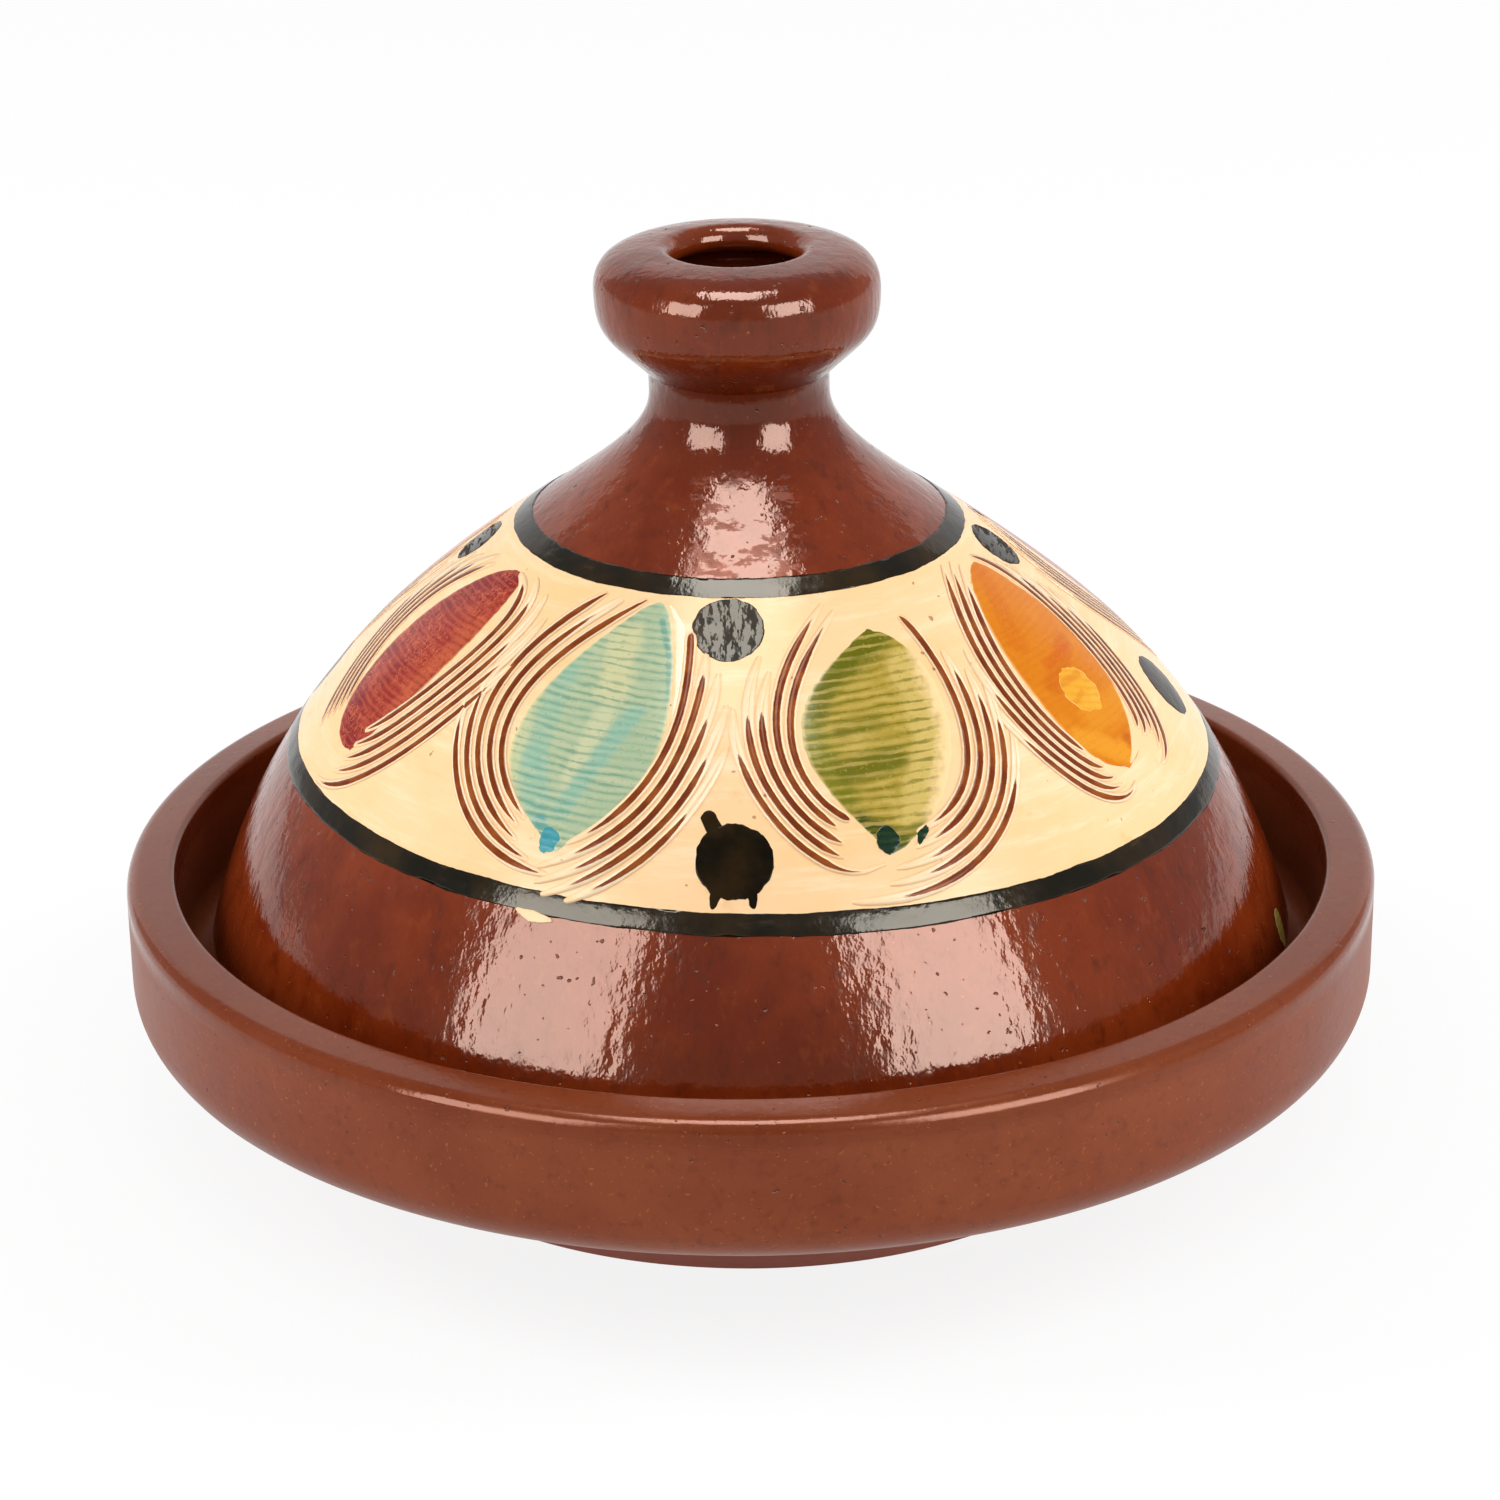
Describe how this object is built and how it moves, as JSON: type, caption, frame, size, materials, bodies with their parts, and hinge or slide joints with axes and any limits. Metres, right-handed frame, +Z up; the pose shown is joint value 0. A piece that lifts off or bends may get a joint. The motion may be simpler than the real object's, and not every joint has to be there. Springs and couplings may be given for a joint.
{
  "type": "tagine",
  "caption": "Shallow round clay cooking dish with a tall cone-shaped lid that stands inside its rim and has a hollow round knob and a small steam vent.",
  "frame": {"origin": "centre of the dish's foot, on the surface that it stands on", "axes": "+Z up along the axis that both pieces were turned about, -Y towards the front of the picture, +X to its right"},
  "size_m": [0.2706, 0.2706, 0.1936],
  "materials": {
    "dish_glaze": "red-brown clay under a thin satin glaze, with fine wheel marks",
    "lid_glaze": "glossy chestnut-brown glaze, with a painted and combed cream zone between two black bands"
  },
  "bodies": {
    "dish": {"dish": "dish_glaze"},
    "lid": {"lid": "lid_glaze"}
  },
  "joints": [
    {"name": "lid_lift", "type": "slide", "parent": "dish", "child": "lid", "axis": [0, 0, 1], "range_m": [0, 0.12]}
  ]
}
